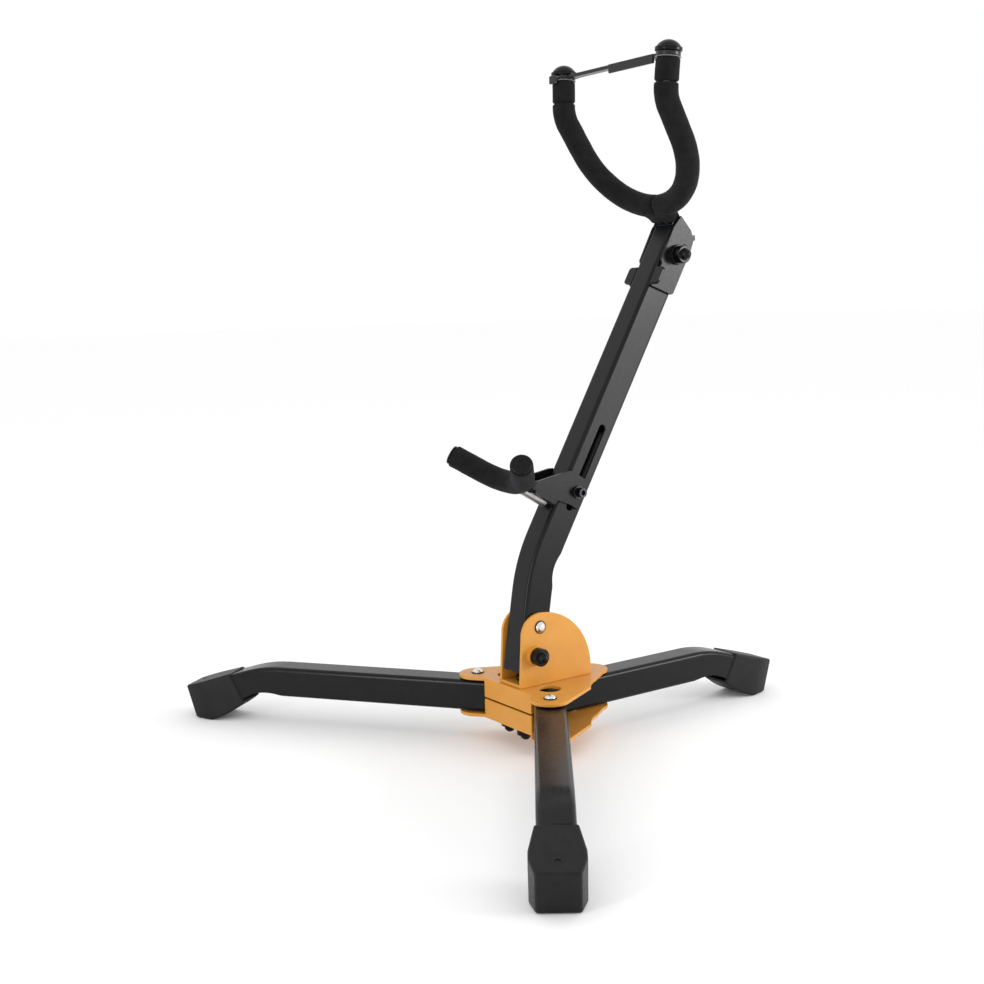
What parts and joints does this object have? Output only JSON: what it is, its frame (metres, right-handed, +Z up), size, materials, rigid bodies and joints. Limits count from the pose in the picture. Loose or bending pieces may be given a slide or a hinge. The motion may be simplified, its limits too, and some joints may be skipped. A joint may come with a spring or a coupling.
{
  "type": "saxophone stand",
  "caption": "Folding tripod saxophone stand: leaning post with a padded neck fork and safety bar above, a padded bell cradle clamped through a slot below, and folding legs on an orange hub.",
  "frame": {"origin": "on the floor, at the bottom centre of the stand's bounding box", "axes": "+Z up, -Y the side the instrument hangs on, +Y along the rear leg, +X the side with the plunger knobs"},
  "size_m": [0.5342, 0.4414, 0.5391],
  "materials": {
    "orange_paint": "satin orange-yellow paint on pressed steel",
    "black_powder_coat": "satin black powder coat",
    "foot_rubber": "moulded matte black rubber",
    "nickel_rivet": "bright nickel plated dome",
    "dark_ring": "dark oxide washer",
    "steel_bush": "turned steel",
    "nylon_washer": "black nylon",
    "black_oxide_bolt": "black oxide steel",
    "knob_plastic": "glossy black moulding",
    "spring_steel": "drawn spring wire",
    "pin_steel": "ground steel pin",
    "zinc_rod": "zinc plated steel rod",
    "black_foam": "closed-cell black foam sleeve",
    "light_ring": "light grey ring",
    "latch_plastic": "black nylon moulding"
  },
  "bodies": {
    "base": {"hub_top_shell": "orange_paint", "hub_bottom_shell": "orange_paint", "yoke_bracket": "orange_paint", "rear_leg_tube": "black_powder_coat", "rear_foot": "foot_rubber", "leg_pivot_rivets": "nickel_rivet", "leg_rivet_rings": "dark_ring", "leg_pivot_bushes": "steel_bush", "leg_pivot_washers": "nylon_washer", "centre_bolt": "black_oxide_bolt", "centre_cap_nut": "knob_plastic", "rear_leg_rivet": "nickel_rivet", "rear_leg_spacers": "steel_bush", "rear_leg_shims": "steel_bush", "right_leg_lock_barrel": "steel_bush", "left_leg_lock_barrel": "steel_bush", "post_lock_barrel": "steel_bush", "right_leg_lock_spring": "spring_steel", "left_leg_lock_spring": "spring_steel", "post_lock_spring": "spring_steel", "post_pivot_rivet": "nickel_rivet", "post_pivot_rings": "dark_ring", "post_pivot_bush": "steel_bush", "post_pivot_washers": "nylon_washer"},
    "right_leg": {"right_leg_tube": "black_powder_coat", "right_foot": "foot_rubber"},
    "left_leg": {"left_leg_tube": "black_powder_coat", "left_foot": "foot_rubber"},
    "right_leg_lock": {"right_leg_lock_pin": "pin_steel", "right_leg_lock_knob": "knob_plastic"},
    "left_leg_lock": {"left_leg_lock_pin": "pin_steel", "left_leg_lock_knob": "knob_plastic"},
    "post_lock": {"post_lock_pin": "pin_steel", "post_lock_knob": "knob_plastic"},
    "post": {"post_tube": "black_powder_coat"},
    "cradle": {"cradle_bracket": "black_powder_coat", "cradle_stem": "zinc_rod", "cradle_rod": "zinc_rod", "cradle_foam": "black_foam", "cradle_plugs": "knob_plastic", "cradle_bolt": "black_oxide_bolt", "cradle_washer": "dark_ring"},
    "cradle_knob": {"cradle_hand_knob": "knob_plastic", "cradle_knob_insert": "steel_bush"},
    "fork": {"fork_bracket": "black_powder_coat", "fork_pivot_pin": "black_powder_coat", "fork_lock_barrel": "steel_bush", "fork_lock_spring": "spring_steel", "right_fork_rod": "zinc_rod", "left_fork_rod": "zinc_rod", "right_fork_foam": "black_foam", "left_fork_foam": "black_foam", "fork_tip_sleeves": "black_foam", "fork_tip_rings": "light_ring", "fork_tip_caps": "knob_plastic"},
    "fork_lock": {"fork_lock_pin": "pin_steel", "fork_lock_knob": "knob_plastic"},
    "latch": {"latch_bar": "latch_plastic"}
  },
  "joints": [
    {"name": "right_leg_fold", "type": "hinge", "parent": "base", "child": "right_leg", "pos_m": [0.0482, -0.05307, 0.0359], "axis": [0, 0, -1], "range_deg": [0, 53.36]},
    {"name": "left_leg_fold", "type": "hinge", "parent": "base", "child": "left_leg", "pos_m": [-0.0482, -0.05307, 0.0359], "axis": [0, 0, 1], "range_deg": [0, 53.36]},
    {"name": "post_fold", "type": "hinge", "parent": "base", "child": "post", "pos_m": [0, -0.03557, 0.0983], "axis": [-1, 0, 0], "range_deg": [0, 60]},
    {"name": "cradle_slide", "type": "slide", "parent": "post", "child": "cradle", "axis": [0, 0.5024, 0.8646], "range_m": [-0.0126, 0.055]},
    {"name": "cradle_knob_turn", "type": "hinge", "parent": "cradle", "child": "cradle_knob", "pos_m": [0, 0.00462, 0.20005], "axis": [1, 0, 0], "continuous": true},
    {"name": "fork_fold", "type": "hinge", "parent": "post", "child": "fork", "pos_m": [0, 0.11957, 0.38932], "axis": [-1, 0, 0], "range_deg": [0, 62.6]},
    {"name": "latch_swing", "type": "hinge", "parent": "fork", "child": "latch", "pos_m": [0.0628, 0.05815, 0.52602], "axis": [0.0498, 0.0598, 0.997], "range_deg": [0, 120]},
    {"name": "right_leg_lock_pull", "type": "slide", "parent": "base", "child": "right_leg_lock", "axis": [0, 0, -1], "range_m": [0, 0.0034], "stiffness_N_per_m": 900, "springref_m": -0.003},
    {"name": "left_leg_lock_pull", "type": "slide", "parent": "base", "child": "left_leg_lock", "axis": [0, 0, -1], "range_m": [0, 0.0034], "stiffness_N_per_m": 900, "springref_m": -0.003},
    {"name": "post_lock_pull", "type": "slide", "parent": "base", "child": "post_lock", "axis": [1, 0, 0], "range_m": [0, 0.0034], "stiffness_N_per_m": 900, "springref_m": -0.003},
    {"name": "fork_lock_pull", "type": "slide", "parent": "fork", "child": "fork_lock", "axis": [1, 0, 0], "range_m": [0, 0.0034], "stiffness_N_per_m": 900, "springref_m": -0.003}
  ]
}
